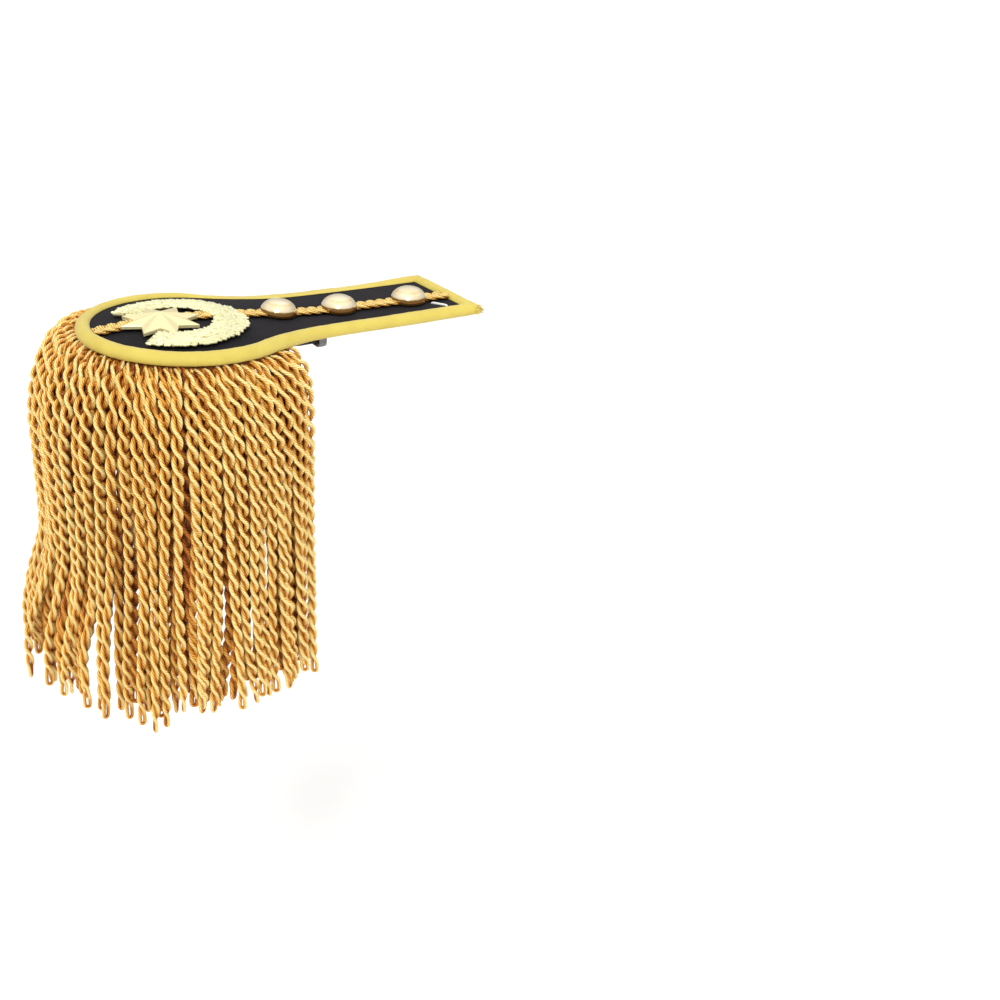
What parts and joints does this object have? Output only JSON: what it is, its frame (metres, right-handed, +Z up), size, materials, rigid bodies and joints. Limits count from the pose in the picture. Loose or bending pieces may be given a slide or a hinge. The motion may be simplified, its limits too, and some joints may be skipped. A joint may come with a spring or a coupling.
{
  "type": "bullion epaulette",
  "caption": "Keyhole shoulder board in black cloth with a yellow binding, gold braid, domed buttons, a wreath and star, and a long hanging fringe of twisted gold cord.",
  "frame": {"origin": "underside of the board at the middle of the round pad, where it rests on the shoulder", "axes": "+X along the board towards the cut end of the strap, +Y to the wearer's back, +Z up"},
  "size_m": [0.1752, 0.1124, 0.1451],
  "materials": {
    "black_cloth": "matt felted cloth",
    "yellow_binding": "satin ribbon, rolled and padded",
    "gold_braid": "plaited silky cord",
    "button_gold": "polished pale gold",
    "medallion_gold": "pale gold, frosted leaves and smooth star",
    "fringe_gold": "glossy twisted rayon cord",
    "black_webbing": "woven webbing",
    "buckle_steel": "satin nickel"
  },
  "bodies": {
    "root": {"board": "black_cloth", "binding": "yellow_binding", "centre_braid": "gold_braid", "button_1": "button_gold", "button_2": "button_gold", "button_3": "button_gold", "medallion": "medallion_gold", "fringe": "fringe_gold", "under_strap": "black_webbing", "buckle": "buckle_steel"}
  },
  "joints": []
}
